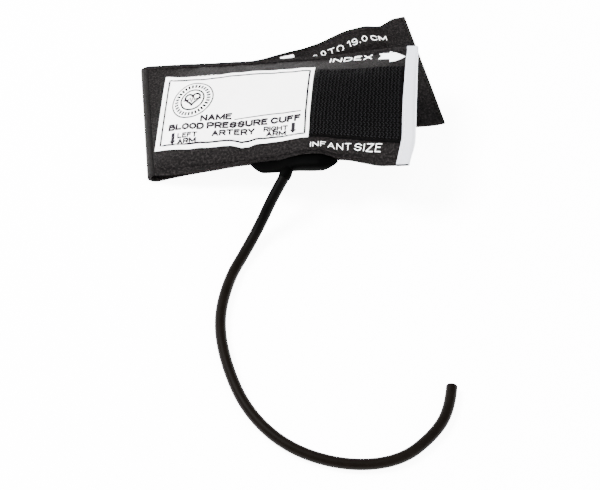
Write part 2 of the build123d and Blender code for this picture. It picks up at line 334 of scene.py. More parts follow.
# ---- materials
def shader(name, color, roughness, **sockets):
    """Principled material. A socket's name has _ for each space."""
    material = bpy.data.materials.new(name)
    material.use_nodes = True
    bsdf = material.node_tree.nodes["Principled BSDF"]
    bsdf.inputs["Base Color"].default_value = (*color, 1)
    bsdf.inputs["Roughness"].default_value = roughness
    for socket, value in sockets.items():
        bsdf.inputs[socket.replace("_", " ")].default_value = value
    return material


def node(material, kind, **values):
    """New node. Each value goes to the input of that name, or else to the node's own setting."""
    made = material.node_tree.nodes.new(kind)
    for key, value in values.items():
        socket = key.replace("_", " ")
        if socket in made.inputs:
            made.inputs[socket].default_value = value
        else:
            setattr(made, key, value)
    return made


def link(material, source, output, target, socket):
    """Join an output, by name or number, to an input."""
    material.node_tree.links.new(source.outputs[output], target.inputs[socket])


def cloth_coordinates(material, scale):
    """UV of the cloth, 1 = 100 mm, scaled to threads."""
    coords = node(material, "ShaderNodeTexCoord")
    mapping = node(material, "ShaderNodeMapping", Scale=scale)
    link(material, coords, "UV", mapping, "Vector")
    return mapping


def two_colors(material, source, output, reach, pair):
    """Colour ramp between a pair of colours, over the given reach of a value."""
    colors = node(material, "ShaderNodeValToRGB")
    for k in range(2):
        colors.color_ramp.elements[k].position = reach[k]
        colors.color_ramp.elements[k].color = (*pair[k], 1)
    link(material, source, output, colors, "Fac")
    return colors


def relief(material, source, output, strength, depth):
    """Bumps from a value, depth in millimetres."""
    bumps = node(material, "ShaderNodeBump", Strength=strength, Distance=depth * MM)
    link(material, source, output, bumps, "Height")
    link(material, bumps, "Normal", material.node_tree.nodes["Principled BSDF"], "Normal")


def thread_waves(material, pitch):
    """Warp bands times weft bands, a band for each thread."""
    threads = cloth_coordinates(material, (100 / pitch, 100 / pitch, 1))
    weave = node(material, "ShaderNodeMath", operation="MULTIPLY")
    for k, direction in enumerate("XY"):
        wave = node(material, "ShaderNodeTexWave", wave_type="BANDS", bands_direction=direction,
                    Scale=0.5, Distortion=0.6, Detail=1.0)
        link(material, threads, "Vector", wave, "Vector")
        link(material, wave, "Color", weave, k)
    return weave


def woven(name, color, light, roughness, pitch, bump, grain=0.5, reach=(0.3, 0.68), **sockets):
    """Plain-woven cloth: threads both ways, uneven dye, and a fine grain."""
    material = shader(name, color, roughness, **sockets)
    weave = thread_waves(material, pitch)
    area = cloth_coordinates(material, (100, 100, 1))
    fine = node(material, "ShaderNodeTexNoise", Scale=0.95, Detail=3.0, Roughness=0.75)
    broad = node(material, "ShaderNodeTexNoise", Scale=0.06, Detail=3.0)
    for texture in (fine, broad):
        link(material, area, "Vector", texture, "Vector")
    blend = node(material, "ShaderNodeMath", operation="MULTIPLY_ADD")
    link(material, fine, "Fac", blend, 0)
    blend.inputs[1].default_value = grain
    link(material, weave, "Value", blend, 2)
    uneven = node(material, "ShaderNodeMapRange", To_Min=0.44, To_Max=0.56)
    link(material, broad, "Fac", uneven, "Value")
    shade = node(material, "ShaderNodeMath", operation="MULTIPLY")
    link(material, blend, "Value", shade, 0)
    link(material, uneven, "Result", shade, 1)
    colors = two_colors(material, shade, "Value", reach, (color, light))
    link(material, colors, "Color", material.node_tree.nodes["Principled BSDF"], "Base Color")
    relief(material, blend, "Value", bump, 0.2)
    return material


nylon = woven("nylon_cloth", (0.0003, 0.0002, 0.0002), (0.0150, 0.0132, 0.0132), 0.6, 0.42, 1.0,
              grain=3.2, reach=(0.87, 1.0), Specular_IOR_Level=0.035)
pile = woven("loop_pile", (0.0003, 0.0002, 0.0002), (0.0088, 0.0076, 0.0078), 0.9, 0.7, 1.0,
             grain=3.0, reach=(0.76, 0.98), Specular_IOR_Level=0.015)
# Hook tape's own black nylon, painted darker than the cloth as shade between the hooks.
hook_nylon = woven("hook_nylon", (0.0002, 0.0002, 0.0002), (0.0022, 0.0022, 0.0024), 0.45, 0.5, 0.6,
                   grain=0.8, Specular_IOR_Level=0.012)
label_cloth = woven("label_cloth", (0.78, 0.77, 0.765), (0.99, 0.985, 0.98), 0.6, 0.3, 0.25,
                    grain=0.25, reach=(0.08, 0.27), Specular_IOR_Level=0.1)
white_tape = woven("white_tape", (0.34, 0.35, 0.39), (0.56, 0.57, 0.61), 0.55, 0.5, 0.4,
                   grain=0.3, reach=(0.08, 0.3), Specular_IOR_Level=0.1)
# Hooks painted lighter than the tape under them: painted light on the hook tops.
hook_tips_painted_light = shader("hook_tips_painted_light", (0.0098, 0.0098, 0.0106), 0.5, Specular_IOR_Level=0.03)
black_thread = shader("black_thread", (0.0012, 0.0010, 0.0010), 0.6, Specular_IOR_Level=0.03)
white_thread = shader("white_thread", (0.70, 0.69, 0.68), 0.6, Specular_IOR_Level=0.1)
black_ink = shader("black_ink", (0.007, 0.006, 0.008), 0.55, Specular_IOR_Level=0.03)
white_ink = shader("white_ink", (0.86, 0.86, 0.86), 0.5, Specular_IOR_Level=0.1)


def paint_shade_along(material, coords, colors, painted_shade_span):
    """Painted shade: colours darkened to a tenth between two heights along Y, in millimetres."""
    spot = node(material, "ShaderNodeSeparateXYZ")
    link(material, coords, "Object", spot, "Vector")
    fade = node(material, "ShaderNodeMapRange", From_Min=painted_shade_span[0] * MM, From_Max=painted_shade_span[1] * MM,
                To_Min=1.0, To_Max=0.1)
    link(material, spot, "Y", fade, "Value")
    shaded_colors = node(material, "ShaderNodeVectorMath", operation="SCALE")
    link(material, colors, "Color", shaded_colors, "Vector")
    link(material, fade, "Result", shaded_colors, "Scale")
    return shaded_colors


def rubber(name, color, light, roughness, scale, shine, painted_shade_span=None):
    """Near-black rubber with a faint uneven bloom, and painted shade that may darken it towards one end.
    """
    material = shader(name, color, roughness, Specular_IOR_Level=shine)
    bsdf = material.node_tree.nodes["Principled BSDF"]
    coords = node(material, "ShaderNodeTexCoord")
    bloom = node(material, "ShaderNodeTexNoise", Scale=scale, Detail=5.0)
    link(material, coords, "Object", bloom, "Vector")
    colors = two_colors(material, bloom, "Fac", (0.35, 0.75), (color, light))
    # Painted shade: the colours darken along Y towards one end.
    if painted_shade_span:
        colors = paint_shade_along(material, coords, colors, painted_shade_span)
    link(material, colors, 0, bsdf, "Base Color")
    rough = node(material, "ShaderNodeMapRange", To_Min=roughness - 0.06, To_Max=roughness + 0.08)
    link(material, bloom, "Fac", rough, "Value")
    link(material, rough, "Result", bsdf, "Roughness")
    relief(material, bloom, "Fac", 0.12, 0.05)
    return material


# The tube's colour darkens towards its port end: painted shadow of the raised front leaf.
tube_rubber = rubber("tube_rubber", (0.0013, 0.0008, 0.0005), (0.0021, 0.0014, 0.0010), 0.5, 260, 0.018,
                     painted_shade_span=(-98, -74))
bladder_rubber = rubber("bladder_rubber", (0.0002, 0.0002, 0.0002), (0.0004, 0.0004, 0.0004), 0.6, 180,
                        0.006)

# ---- stage: a white light table under a white sky
floor_mesh = bpy.data.meshes.new("floor")
floor_mesh.from_pydata([(-4, -4, 0), (4, -4, 0), (4, 4, 0), (-4, 4, 0)], [], [(0, 1, 2, 3)])
floor = bpy.data.objects.new("floor", floor_mesh)
bpy.context.scene.collection.objects.link(floor)
table_top = shader("floor", (0.90, 0.90, 0.90), 0.9, Specular_IOR_Level=0.0)
table_glow = table_top.node_tree.nodes["Principled BSDF"].inputs
table_glow["Emission Color"].default_value = (1, 1, 1, 1)
table_glow["Emission Strength"].default_value = 9.0
floor_mesh.materials.append(table_top)

world = bpy.data.worlds.new("studio")
bpy.context.scene.world = world
world.use_nodes = True
world.node_tree.nodes["Background"].inputs["Color"].default_value = (1, 1, 1, 1)
world.node_tree.nodes["Background"].inputs["Strength"].default_value = 1.9


def area_light(name, location, size, power):
    """Square soft light aimed at the middle of the cuff."""
    data = bpy.data.lights.new(name, "AREA")
    data.size = size
    data.energy = power
    lamp = bpy.data.objects.new(name, data)
    bpy.context.scene.collection.objects.link(lamp)
    lamp.location = location
    lamp.rotation_euler = (Vector((0, -0.06, 0)) - lamp.location).to_track_quat("-Z", "Y").to_euler()
    return lamp


area_light("key", Vector((-0.8, 0.2, 1.2)), 0.5, 100)
area_light("fill", Vector((0.9, -0.9, 1.0)), 1.2, 22)
area_light("top", Vector((0.2, -0.2, 1.6)), 1.0, 24)


# ---- surfaces of the two leaves
FOLD_PULL = 2.2          # how far the upper edge is drawn in at the fold
FOLD_PULL_LOW = 1.2      # the same at the lower edge
FOLD_BULGE = 1.42        # the bend reaches out this many times its radius


def pulled(u, v, upper, lower, slant):
    """Where the padding draws the edges in: upper and lower are how far, at the very edges.

    slant is 1 on the back leaf and -1 on the front leaf, whose fold lines slant opposite ways.
    """
    amount = upper if v > 0 else lower
    moved = v - math.copysign(1, v) * amount * (abs(v) / HALF_WIDTH) ** 4
    return u + slant * (moved - v) * math.tan(FAN) * (1 - ramp(u, 0, 25)), moved


def bow(u, v):
    """How far the index end of the front leaf curves outward."""
    return 2.1 * min(1.0, (HALF_WIDTH - v) / 53) * (1 - ramp(-v, 21, 35)) * ramp(u, 85, 120)


def pulled_back(u, v):
    """Outline of the back leaf."""
    upper = FOLD_PULL + 5.6 * ramp(u, 0, 60) - 7.8 * ramp(u, 66, 128) + 2.2 * hump(u, 122, 8)
    lower = FOLD_PULL_LOW * (1 - ramp(u, 0, 40)) + 1.3 * hump(u, 112, 20) - 0.8 * ramp(u, 118, 135)
    return pulled(u + 0.9 * ramp(u, 100, 135), v, upper, lower, 1)


def pulled_front(u, v):
    """Outline of the front leaf."""
    upper = FOLD_PULL * (1 - ramp(u, 84, 120)) + 0.6 * hump(u, 42, 40)
    lower = 4.6 * ramp(u, 5, 60) * (1 - ramp(u, 93, 117)) - 0.3 * ramp(u, 105, 127)
    lower += FOLD_PULL_LOW * (1 - ramp(u, 0, 30))
    return pulled(u + bow(u, v), v, upper, lower, -1)


def back_place(u, v, h):
    """Point of the back leaf, h above the surface it lies on."""
    wave = 0.4 * wander(u, v, 22, 3.1) * ramp(u, 15, 60)
    wave += (1.6 * hump(u, 104, 16) + 1.1 * hump(u, 72, 14)) * ramp(v, 8, 30)
    u, v = pulled_back(u, v)
    return fold_base + (back_dir * u + back_across * v + UP * (h + max(0.0, wave))) * MM


def lip_height(u):
    """How far the mouth over the bladder's port stands open."""
    return (1.4 * ramp(u, 50, 58) + 4.1 * ramp(u, 62, 80)) * (1 - ramp(u, 85, 96))


def pad_height(u, v):
    """Inner side of the front leaf's outer cloth, over its flat inner cloth."""
    lift = 0.05 + 1.0 * ramp(u, 0, 14)
    crown = 0.15 + 6.0 * ramp(u, 0, 30) * (1 - 0.5 * ramp(u, 75, FRONT_LENGTH))
    ridge = -4.0
    side = (v - ridge) / (PAD_HALF - ridge if v > ridge else PAD_HALF + ridge)
    side = min(1.0, abs(side))
    height = lift * (1 - side**8) + crown * (1 - side**2.2)
    lip = lip_height(u) * (1 - ramp(v, -HALF_WIDTH, -15))
    soft = ramp(u, 4, 24) * (1 - ramp(abs(v), 27, 32))
    height += soft * (0.55 * wander(u, v, 17, 1.7) + 0.28 * wander(u, v, 7, 5.3))
    crease = (1.3 * hump(u, 49.5, 8) + 0.5 * hump(u, 47.6, 1.6)) * (1 - ramp(v, -24, -8))
    edge = 0.45 * wander(u, v, 5, 9.1) * ramp(abs(v), 22, 31) - 0.3 * hump(abs(v), 30.9, 1.3)
    return max(0.03, height + lip - crease * ramp(v, -33, -28) + edge)


def plain_place(u, v, h):
    """Point on the front leaf's own straight axes."""
    return front_root + (front_dir * u + front_across * v + front_up * h) * MM


def pad_place(u, v, h):
    """Point h above the inner side of the front leaf's padded outer cloth."""
    return plain_place(*pulled_front(u, v), pad_height(u, v) + h)


def flat_place(u, v, h):
    """Point h above the front leaf's inner cloth."""
    return plain_place(*pulled_front(u, v), h)


def leaf_grid(length, slant, nu, nv, start=0.0):
    """Rows from the slanted fold line to the square end of a leaf."""
    rows = []
    for i in range(nu):
        share = i / (nu - 1)
        row = []
        for v in even(-HALF_WIDTH, HALF_WIDTH, nv):
            first = start + slant * v * math.tan(FAN)
            row.append((first + (length - first) * share, v))
        rows.append(row)
    return rows


def fasten(obj, cad, body):
    """What the piece stands for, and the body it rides."""
    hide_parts(cad)
    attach(obj, body)


# ---- back leaf
def wavy(place, amount, seed):
    """Same surface with its cut edges wandering a little, as sewn cloth does."""
    def moved(u, v, h):
        shift = amount * wander(u, 0, 9, seed) * ramp(abs(v), 28, HALF_WIDTH)
        return place(u, v + math.copysign(shift, v), h)
    return moved


back_outer = cloth_slab("back_outer_cloth", leaf_grid(BACK_LENGTH, 1, 110, 56),
                        wavy(back_place, *EDGE_WAVE), 0.02, CLOTH - 0.03, nylon)
back_inner = cloth_slab("back_inner_cloth", leaf_grid(BACK_LENGTH, 1, 110, 56),
                        wavy(back_place, *EDGE_WAVE), CLOTH + 0.03, 2 * CLOTH, nylon)
for obj, cad in ((back_outer, "back_outer_panel"), (back_inner, "back_inner_panel")):
    fasten(obj, cad, "back_leaf")

BACK_TOP = 2 * CLOTH


def pile_place(u, v, h):
    """The loop pile's uneven top."""
    tuft = 0.22 * wander(u, v, 1.6, 4.4) + 0.12 * wander(u, v, 0.8, 8.8)
    return back_place(u, v, h + (tuft if h > BACK_TOP + 0.3 else 0))


loop_field = cloth_slab("loop_field", rectangle_grid(LOOP_U, (-LOOP_HALF, LOOP_HALF), 190, 96),
                        pile_place, BACK_TOP + 0.02, BACK_TOP + 0.95, pile)
fasten(loop_field, "loop_patch", "back_leaf")

hem_start = BACK_LENGTH - END_HEM
hem = cloth_slab("end_hem_fold",
                 rectangle_grid((hem_start, BACK_LENGTH - 0.1), (-HALF_WIDTH + 0.1, HALF_WIDTH - 0.1),
                                16, 56),
                 wavy(back_place, *EDGE_WAVE), BACK_TOP + 0.03, BACK_TOP + 0.55, nylon)
fasten(hem, "end_hem", "back_leaf")


seam_v = HALF_WIDTH - 3.0
fasten(
    stitches("back_edge_thread", [
        seam_run(back_place, (12, side), (hem_start - 0.5, side), BACK_TOP) for side in (-seam_v, seam_v)
    ], black_thread),
    "back_edge_stitching", "back_leaf")
hem_seams = (hem_start + 1.3, BACK_LENGTH - 1.8)
fasten(
    stitches("end_hem_thread", [
        seam_run(back_place, (u, -HALF_WIDTH + 1), (u, HALF_WIDTH - 1), BACK_TOP + 0.58)
        for u in hem_seams
    ], black_thread),
    "end_hem_stitching", "back_leaf")
loop_seam = LOOP_HALF + 1.15
fasten(
    stitches("loop_field_thread", [
        seam_run(back_place, (LOOP_U[0], side), (LOOP_U[1], side), BACK_TOP)
        for side in (-loop_seam, loop_seam)
    ], black_thread),
    "loop_patch_stitching", "back_leaf")


# ---- the fold: cloth that bends across each hinge line
def bend(turn_deg, v, h):
    """Cloth round the bend: turn_deg from the back leaf, v across the cuff."""
    turn = math.radians(-90 - turn_deg)
    radius = BEND_RADIUS + h
    v = pulled(0, v, FOLD_PULL, FOLD_PULL_LOW, 0)[1]
    at = fold_base + ALONG_FOLD * (v / math.cos(FAN)) * MM
    at += SQUARE * radius * math.cos(turn) * FOLD_BULGE * MM
    return at + UP * (BEND_CENTRE_Z + radius * math.sin(turn)) * MM


step_deg = math.degrees(FOLD_STEP)
fold_chain = (
    ("lower", "back_leaf", "lower_fold"),
    ("upper", "lower_fold", "upper_fold"),
    ("top", "upper_fold", "front_leaf"),
)
for index, (word, before, after) in enumerate(fold_chain):
    turn_range = (index * step_deg, (index + 1) * step_deg)
    grid = rectangle_grid(turn_range, (-HALF_WIDTH, HALF_WIDTH), 12, 56)
    first = bend(turn_range[0], 0, 0)
    last = bend(turn_range[1], 0, 0)
    for layer, low, high in (("outer", 0.03, CLOTH - 0.02), ("inner", -CLOTH, -0.03)):
        strip = cloth_slab(f"{word}_fold_{layer}_strip", grid, bend, low, high, nylon)
        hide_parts(f"{word}_fold_{layer}_cloth")
        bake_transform(strip)

# ---- front leaf: inner cloth, bladder, padded outer cloth
inner = cloth_slab("front_inner_cloth", leaf_grid(FRONT_LENGTH, -1, 100, 56),
                   wavy(flat_place, *FRONT_WAVE), -CLOTH, -0.04, nylon)
fasten(inner, "front_inner_panel", "front_leaf")

outer = cloth_slab("front_outer_cloth", leaf_grid(FRONT_LENGTH, -1, 190, 110),
                   wavy(pad_place, *FRONT_WAVE), 0.0, CLOTH - 0.02, nylon)
fasten(outer, "front_outer_panel", "front_leaf")

fasten(
    stitches("front_edge_thread", [
        seam_run(pad_place, (-4, SEAM_V - 1), (FRONT_LENGTH - 7, SEAM_V - 1), CLOTH, 160),
        seam_run(pad_place, (7, -SEAM_V + 1.6), (FRONT_LENGTH - 7, -SEAM_V + 1.6), CLOTH, 160),
    ], black_thread),
    "front_edge_stitching", "front_leaf")


def bladder_place(u, v, h):
    """Bladder sheet: h = 0 is the sheet under the outer cloth."""
    return pad_place(u, v, h - 0.6)


bladder_v = (-BLADDER_HALF, BLADDER_HALF)
bladder_top = cloth_slab("bladder_top_sheet", rectangle_grid(BLADDER_U, bladder_v, 70, 40),
                         bladder_place, 0, 0.45, bladder_rubber)
bladder_bottom = cloth_slab("bladder_bottom_sheet", rectangle_grid(BLADDER_U, bladder_v, 30, 20),
                            flat_place, 0.02, 0.42, bladder_rubber)
fasten(bladder_top, "bladder_upper_sheet", "front_leaf")
fasten(bladder_bottom, "bladder_lower_sheet", "front_leaf")

# ---- label
LABEL_TOP = PATCH_BASE + 0.28


def label_place(u, v, h):
    """Label cloth: flat on the leaf at its seams, with a few puckers along its edges."""
    edge = min(u - LABEL_U[0], LABEL_U[1] - u, v - LABEL_V[0], LABEL_V[1] - v)
    pucker = 0.28 * max(0.0, wander(u, v, 6, 2.2)) * ramp(edge, -0.5, 3)
    return pad_place(u, v, h + pucker)


def label_grid():
    """The label's cut: a little out of square, its sewn edges drawn in here and there."""
    rows = []
    for u in even(*LABEL_U, 120):
        share = (u - LABEL_U[0]) / (LABEL_U[1] - LABEL_U[0])
        top = LABEL_V[1] + 2.5 * (1 - ramp(u, 4, 16)) - 1.4 * hump(u, 26, 14)
        foot = LABEL_V[0] - 2.2 * ramp(u, 4, 26) * (1 - 0.7 * ramp(u, 60, 80)) - 0.6 * hump(u, 48.2, 7)
        top += 0.25 * wander(u, 0, 5, 7.7)
        foot += 0.3 * wander(u, 0, 5, 2.9)
        lean = 0.6 * share
        rows.append([(u + lean * (0.5 - s), foot + (top - foot) * s) for s in even(0, 1, 72)])
    return rows


label = cloth_slab("label_cloth", label_grid(), label_place, PATCH_BASE, LABEL_TOP, label_cloth)
fasten(label, "name_label", "front_leaf")


def frame_runs(place, u_range, v_range, inset, height):
    """Four seams round a patch, inside its edges."""
    u0, u1 = u_range[0] + inset, u_range[1] - inset
    v0, v1 = v_range[0] + inset, v_range[1] - inset
    corners = [(u0, v0), (u1, v0), (u1, v1), (u0, v1), (u0, v0)]
    return [seam_run(place, a, b, height, 80) for a, b in zip(corners, corners[1:])]


fasten(
    stitches("label_thread", frame_runs(label_place, LABEL_U, LABEL_V, 1.1, LABEL_TOP), white_thread,
             length=1.7, gap=0.5, radius=0.14),
    "label_stitching", "front_leaf")

# ---- hook tape
TAPE_TOP = PATCH_BASE + 0.5


def tape_place(u, v, h):
    """Hook tape, cut a little deeper at its index end."""
    share = (u - HOOK_U[0]) / (HOOK_U[1] - HOOK_U[0])
    return pad_place(u, v - 3.2 * share * ramp(v, 8, -20) if v < 8 else v, h)


tape = cloth_slab("hook_tape_base", rectangle_grid(HOOK_U, HOOK_V, 60, 60), tape_place,
                  PATCH_BASE, TAPE_TOP, hook_nylon)
fasten(tape, "hook_tape", "front_leaf")

HOOK_LINES = 24
HOOKS_PER_LINE = 34
HOOK_SIDES = 5
HOOK_RADIUS, HOOK_TIP_RADIUS = 0.17, 0.11
HOOK_SHAPE = ((0, 0.0), (0, 0.7), (0.08, 1.05), (0.3, 1.25), (0.52, 1.12), (0.6, 0.85))


def hook_field():
    """Rows of small bent hooks, each leaning a little its own way."""
    verts, faces = [], []
    u_first, u_last = HOOK_U[0] + 1.5, HOOK_U[1] - 1.6
    v_first, v_last = HOOK_V[0] + 1.0, HOOK_V[1] - 0.8
    radii = [HOOK_RADIUS * MM] * (len(HOOK_SHAPE) - 1) + [HOOK_TIP_RADIUS * MM]
    for line in range(HOOK_LINES):
        for number in range(HOOKS_PER_LINE):
            u = u_first + (u_last - u_first) * line / (HOOK_LINES - 1)
            v = v_first + (v_last - v_first) * (number + 0.5) / HOOKS_PER_LINE
            u += 0.12 * wander(line * 31, number * 17, 3, 0.5)
            way = 1 if number % 2 else -1
            root = tape_place(u, v, TAPE_TOP - 0.1)
            lean = 0.25 * wander(line * 13, number * 29, 3, 6.5)
            centres = []
            for reach, height in HOOK_SHAPE:
                across = way * reach + lean * height
                centres.append(root + (front_dir * across + front_up * height) * MM)
            start = len(verts)
            verts += ring_tube(centres, radii, HOOK_SIDES, up=front_across)
            faces += ring_faces(len(centres), HOOK_SIDES, start)
    return piece("hook_field", verts, faces, hook_tips_painted_light, [(v.x * 1000, v.y * 1000) for v in verts])


hooks = hook_field()
fasten(hooks, "hook_rows", "front_leaf")
fasten(
    stitches("hook_tape_thread", frame_runs(tape_place, HOOK_U, HOOK_V, 0.9, TAPE_TOP), black_thread),
    "hook_tape_stitching", "front_leaf")

# ---- index binding
TAPE_THICK = 0.3
BINDING_TURN = 5         # steps round the leaf's edge


def binding_profile(v):
    """Inner line of the tape at v: along the top, round the edge and back underneath."""
    top = pad_height(FRONT_LENGTH, max(-HALF_WIDTH, min(HALF_WIDTH, v))) + CLOTH + 0.04
    foot = -CLOTH - 0.04
    width = INDEX_TAPE_WIDTH - 0.5 * v / HALF_WIDTH + 0.15 * wander(v, 0, 9, 3.3)
    reach = FRONT_LENGTH - width
    profile = []
    for share in (0, 0.2, 0.4, 0.6, 0.8, 1):
        u = reach + width * share
        profile.append((u, pad_height(u, v) + CLOTH + 0.04))
    for k in range(1, BINDING_TURN):
        swing = math.pi * k / BINDING_TURN
        middle, half = (top + foot) / 2, (top - foot) / 2
        profile.append((FRONT_LENGTH + 0.45 * math.sin(swing), middle + half * math.cos(swing)))
    for share in (1, 0.66, 0.33, 0):
        profile.append((reach + width * share, foot))
    return profile


def binding():
    """White tape wrapped over the index edge, one closed sheet bent round it."""
    verts, uvs, faces = [], [], []
    vs = even(-HALF_WIDTH - 0.1, HALF_WIDTH + 0.1, 90)
    for v in vs:
        profile = binding_profile(v)
        outer_line, inner_line = [], []
        for i, (u, h) in enumerate(profile):
            before = profile[max(i - 1, 0)]
            after = profile[min(i + 1, len(profile) - 1)]
            along = Vector((after[0] - before[0], after[1] - before[1])).normalized()
            out = Vector((-along.y, along.x)) * TAPE_THICK
            inner_line.append(flat_place(u, v, h))
            outer_line.append(flat_place(u + out.x, v, h + out.y))
        verts += outer_line + list(reversed(inner_line))
        uvs += [(i * 0.8, v) for i in range(2 * len(profile))]
    per = len(verts) // len(vs)
    for row in range(len(vs) - 1):
        for k in range(per):
            a, b = row * per + k, row * per + (k + 1) % per
            faces.append((a, b, b + per, a + per))
    faces.append(tuple(reversed(range(per))))
    faces.append(tuple(range(len(verts) - per, len(verts))))
    return piece("index_tape", verts, faces, white_tape, uvs)


index_tape = binding()
fasten(index_tape, "index_binding", "front_leaf")
index_seam_u = FRONT_LENGTH - INDEX_TAPE_WIDTH + 1.0
fasten(
    stitches("index_tape_thread", [
        seam_run(pad_place, (index_seam_u, -HALF_WIDTH + 1), (index_seam_u, HALF_WIDTH - 1),
                 CLOTH + TAPE_THICK + 0.05)
    ], white_thread, radius=0.13),
    "index_binding_stitching", "front_leaf")

# ---- bladder port and tube
tube_line = smooth_line(TUBE_ROUTE, 14)


TUBE_SIDES = 32
END_STEPS = 8            # steps round the cut end, from the outer wall to the bore
BORE_DEPTH = 14          # length of open bore behind the cut end


def tube_profile(tip, along):
    """Centres and radii: the outer wall, the rounded end, then the bore behind it."""
    wall = (TUBE_RADIUS - TUBE_BORE) / 2
    middle = TUBE_RADIUS - wall
    line = tube_line[:-1] + [tip - along * wall * 0.8 * MM]
    radii = [TUBE_RADIUS * MM] * len(line)
    for k in range(1, END_STEPS):
        swing = math.pi * k / END_STEPS
        line.append(tip + along * wall * (0.8 * math.sin(swing) - 0.8) * MM)
        radii.append((middle + wall * math.cos(swing)) * MM)
    bore = [p for p in reversed(tube_line) if 0.5 * MM < (p - tip).length < BORE_DEPTH * MM]
    return line + bore, radii + [TUBE_BORE * MM] * len(bore)


def tube_way(line, i, along):
    """Direction of a ring. The bore's rings keep the directions of the wall round them."""
    end = len(tube_line) - 1
    if i < end:
        return (line[i + 1] - line[i]).normalized()
    if i < end + END_STEPS:
        return along
    nearest = min(range(end), key=lambda k: (tube_line[k] - line[i]).length)
    return (tube_line[nearest + 1] - tube_line[nearest]).normalized()


def rubber_tube():
    """Tube wall with a rounded free end and an open bore behind it."""
    tip = tube_line[-1]
    along = (tip - tube_line[-2]).normalized()
    line, radii = tube_profile(tip, along)
    verts = []
    side_way = None
    for i, centre in enumerate(line):
        way = tube_way(line, i, along)
        if side_way is None:
            side_way = way.cross(UP).normalized()
        side_way = (side_way - way * side_way.dot(way)).normalized()
        other = way.cross(side_way)
        for k in range(TUBE_SIDES):
            turn = 2 * math.pi * k / TUBE_SIDES
            verts.append(centre + (side_way * math.cos(turn) + other * math.sin(turn)) * radii[i])
    return piece("rubber_tube", verts, ring_faces(len(line), TUBE_SIDES), tube_rubber)


tube = rubber_tube()
fasten(tube, "tube", "front_leaf")


LOBE_RINGS = 45
LOBE_AROUND = 36
LOBE_U, LOBE_LENGTH = 50.5, 43.5
LOBE_INSIDE = -28.2      # how far in the lip begins, across the cuff
LOBE_VOXEL = 0.3
NECK_RINGS = 17


def lobe_sections():
    """The bladder's welded lip: (u, tip, thickness share) from its left end to its right."""
    sections = []
    for k in range(LOBE_RINGS):
        u = LOBE_U + LOBE_LENGTH * k / (LOBE_RINGS - 1)
        end = min(1.0, ramp(u, 50.0, 59.5) + 0.02) * min(1.0, 1 - ramp(u, 86, 96) + 0.02)
        tip = -28.5 - 7.1 * end**0.55 - 0.7 * ramp(u, 72, 84)
        sections.append((u, tip, end**0.5))
    return sections


def lobe_lip():
    """The bladder's lip, filling the mouth."""
    verts = []
    for u, tip, share in lobe_sections():
        middle = max(0.55, lip_height(u) / 2)
        for s in range(LOBE_AROUND):
            turn = 2 * math.pi * s / LOBE_AROUND
            out, rise = math.cos(turn), math.sin(turn)
            v = (LOBE_INSIDE + tip) / 2 + (tip - LOBE_INSIDE) / 2 * math.copysign(abs(out) ** 0.7, out)
            free = 1 - ramp(v, -33, -29.6)
            thick = middle - 0.15 + (0.5 if rise > 0 else 0.7) * free
            h = middle + thick * share * math.copysign(abs(rise) ** 0.7, rise)
            verts.append(plain_place(u, v, h))
    return piece("port_lobe", verts, ring_faces(LOBE_RINGS, LOBE_AROUND), bladder_rubber)


def lobe_neck():
    """The neck that the tube is bonded into."""
    start = tube_line[0]
    way = (tube_line[1] - tube_line[0]).normalized()
    root = plain_place(PORT_U + 0.5, -32.2, 1.2)
    a, b, c, d = root, root.lerp(start, 0.5), start - way * 2.5 * MM, start + way * 0.7 * MM
    centres = []
    for i in range(NECK_RINGS):
        t = i / (NECK_RINGS - 1)
        centres.append(a * (1 - t) ** 3 + 3 * b * t * (1 - t) ** 2 + 3 * c * t * t * (1 - t) + d * t**3)
    radii = [(1.8 + 1.1 * ramp(i, 0, 12)) * MM for i in range(NECK_RINGS)]
    return piece("port_neck", ring_tube(centres, radii, TUBE_SIDES), ring_faces(NECK_RINGS, TUBE_SIDES),
                 bladder_rubber)


def lobe_port():
    """Lip and neck, made one closed piece."""
    lobe = lobe_lip()
    neck = lobe_neck()
    bpy.ops.object.select_all(action="DESELECT")
    lobe.select_set(True)
    neck.select_set(True)
    bpy.context.view_layer.objects.active = lobe
    bpy.ops.object.join()
    remesh = lobe.modifiers.new("remesh", "REMESH")
    remesh.mode = "VOXEL"
    remesh.voxel_size = LOBE_VOXEL * MM
    smooth = lobe.modifiers.new("smooth", "SMOOTH")
    smooth.factor = 0.5
    smooth.iterations = 6
    for modifier in ("remesh", "smooth"):
        bpy.ops.object.modifier_apply(modifier=modifier)
    lobe.data.polygons.foreach_set("use_smooth", [True] * len(lobe.data.polygons))
    lobe.name = "bladder_mouth_port"
    return lobe


port = lobe_port()
fasten(port, "bladder_port", "front_leaf")


# ---- printing: generic marks only
def cut_small(points, faces, longest=0.9):
    """The same flat shape in triangles, no edge longer than the given length."""
    work = bmesh.new()
    made = [work.verts.new((x, y, 0)) for x, y in points]
    for face in faces:
        work.faces.new([made[k] for k in face])
    bmesh.ops.triangulate(work, faces=work.faces)
    for _ in range(6):
        long_edges = [edge for edge in work.edges if edge.calc_length() > longest]
        if not long_edges:
            break
        bmesh.ops.subdivide_edges(work, edges=long_edges, cuts=1)
        bmesh.ops.triangulate(work, faces=work.faces)
    work.verts.index_update()
    points = [(vert.co.x, vert.co.y) for vert in work.verts]
    faces = [tuple(vert.index for vert in face.verts) for face in work.faces]
    work.free()
    return points, faces


